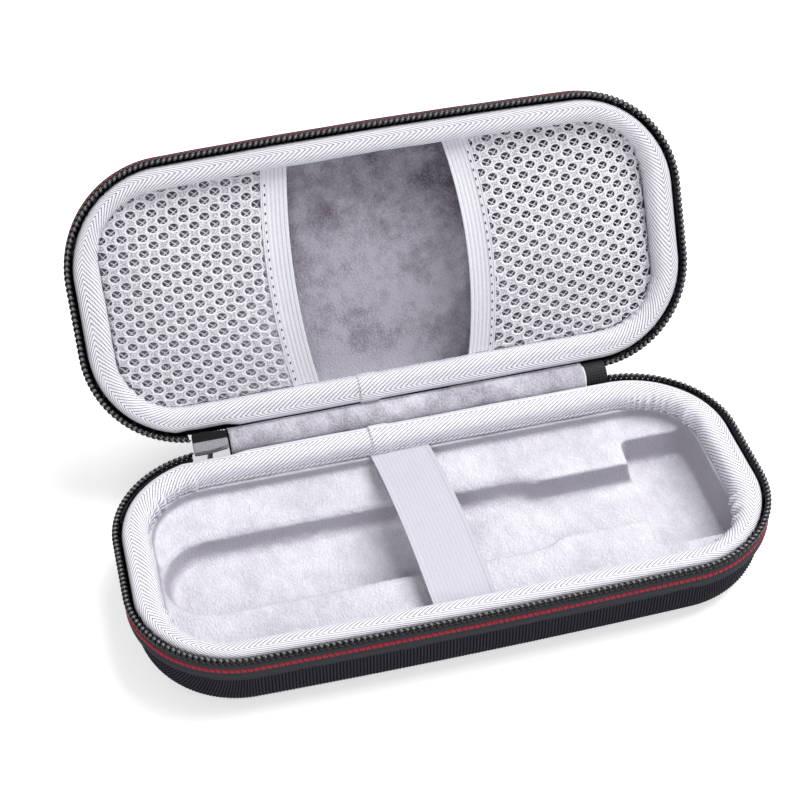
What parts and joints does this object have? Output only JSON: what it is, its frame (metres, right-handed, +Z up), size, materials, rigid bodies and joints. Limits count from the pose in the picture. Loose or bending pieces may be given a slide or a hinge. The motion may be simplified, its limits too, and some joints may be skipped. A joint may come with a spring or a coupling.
{
  "type": "electric shaver hard case",
  "caption": "Zip-around hard carrying case for an electric shaver, open on its cloth hinge, with a plush nest, a holding strap and net pockets in the lid.",
  "frame": {"origin": "middle of the flat underside of the base, on the surface it stands on", "axes": "+X along the case towards the shaver's head, +Y towards the hinge, +Z up"},
  "size_m": [0.237, 0.1784, 0.1283],
  "materials": {
    "shell_cloth": "ribbed woven cloth over pressed EVA",
    "plush": "short soft pile",
    "binding_tape": "herringbone woven tape",
    "rim_foam": "open foam",
    "zip_tape": "smooth woven polyester",
    "zip_coil": "glossy moulded coil",
    "stitching": "thick twisted thread",
    "elastic": "ribbed knitted elastic",
    "pocket_net": "knitted spacer net",
    "hinge_cloth": "tightly woven cloth",
    "slider_metal": "black satin enamel on cast metal"
  },
  "bodies": {
    "base": {"base_shell": "shell_cloth", "base_rim_pad": "rim_foam", "base_tray": "plush", "base_binding": "binding_tape", "base_zip_tape": "zip_tape", "base_zip_coil": "zip_coil", "base_stitching": "stitching", "base_strap": "elastic", "base_hinge_cloth": "hinge_cloth", "base_hinge_lining": "plush", "base_zip_end_tab": "zip_tape"},
    "lid": {"lid_shell": "shell_cloth", "lid_rim_pad": "rim_foam", "lid_lining": "plush", "lid_binding": "binding_tape", "lid_zip_tape": "zip_tape", "lid_zip_coil": "zip_coil", "lid_stitching": "stitching", "left_pocket_net": "pocket_net", "right_pocket_net": "pocket_net", "left_pocket_elastic": "elastic", "right_pocket_elastic": "elastic", "lid_hinge_cloth": "hinge_cloth", "lid_hinge_lining": "plush", "lid_zip_end_tab": "zip_tape"},
    "slider": {"zip_slider": "slider_metal"},
    "puller": {"zip_puller": "slider_metal"}
  },
  "joints": [
    {"name": "lid_hinge", "type": "hinge", "parent": "base", "child": "lid", "pos_m": [0, 0.0546, 0.03], "axis": [-1, 0, 0], "range_deg": [-116.5, 63.5]},
    {"name": "slider_swing", "type": "hinge", "parent": "base", "child": "slider", "pos_m": [0, 0.0546, 0.03], "axis": [-1, 0, 0], "range_deg": [-58.25, 31.75]},
    {"name": "puller_swing", "type": "hinge", "parent": "slider", "child": "puller", "pos_m": [-0.0759, 0.05544, 0.02864], "axis": [0, 0.8504, 0.5262], "range_deg": [-65, 65]}
  ],
  "couplings": [
    {"joint": "slider_swing", "follows": "lid_hinge", "ratio": 0.5}
  ]
}
